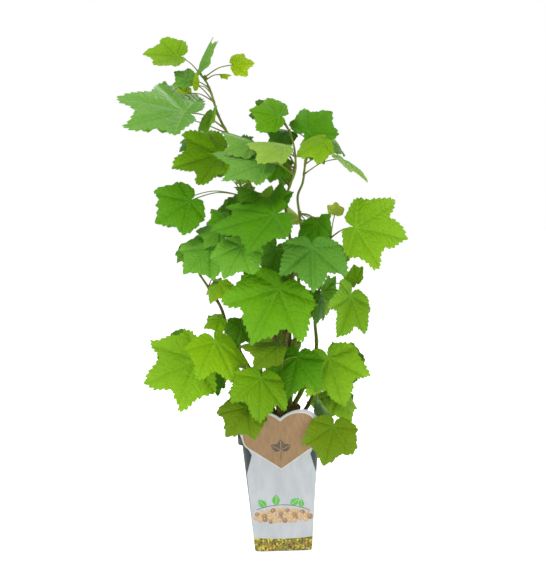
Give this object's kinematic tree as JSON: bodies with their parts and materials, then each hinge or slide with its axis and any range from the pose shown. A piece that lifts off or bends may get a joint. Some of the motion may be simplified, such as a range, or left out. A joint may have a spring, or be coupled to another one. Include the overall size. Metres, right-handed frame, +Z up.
{
  "type": "potted currant bush",
  "caption": "Young fruit bush of slender leafy stems in a tall square nursery pot with a heart-topped card label.",
  "frame": {"origin": "middle of the pot's flat foot, on the ground", "axes": "+Z up; -Y is the front, where the label is; +X to the viewer's right"},
  "size_m": [0.3832, 0.2516, 0.7001],
  "materials": {
    "pot": "satin moulded plastic",
    "soil": "loose potting compost with moss",
    "label": "coated card",
    "bark": "rough bark",
    "green_bark": "smooth young bark",
    "leaves": "soft veined leaf"
  },
  "bodies": {
    "root": {"pot": "pot", "soil": "soil", "label": "label", "stool": "bark", "stem_leader": "green_bark", "stem_upper": "green_bark", "stem_upright": "green_bark", "stem_upper_left": "green_bark", "stem_left": "green_bark", "stem_centre": "green_bark", "stem_front": "green_bark", "stem_right": "green_bark", "stem_lower_left": "green_bark", "stem_lower_front": "green_bark", "stem_lower_right": "green_bark", "leaves_leader": "leaves", "leaves_upper_left": "leaves", "leaves_upper": "leaves", "leaves_upright": "leaves", "leaves_centre": "leaves", "leaves_left": "leaves", "leaves_front": "leaves", "leaves_right": "leaves", "leaves_lower_left": "leaves", "leaves_lower_front": "leaves", "leaves_lower_right": "leaves"}
  },
  "joints": []
}
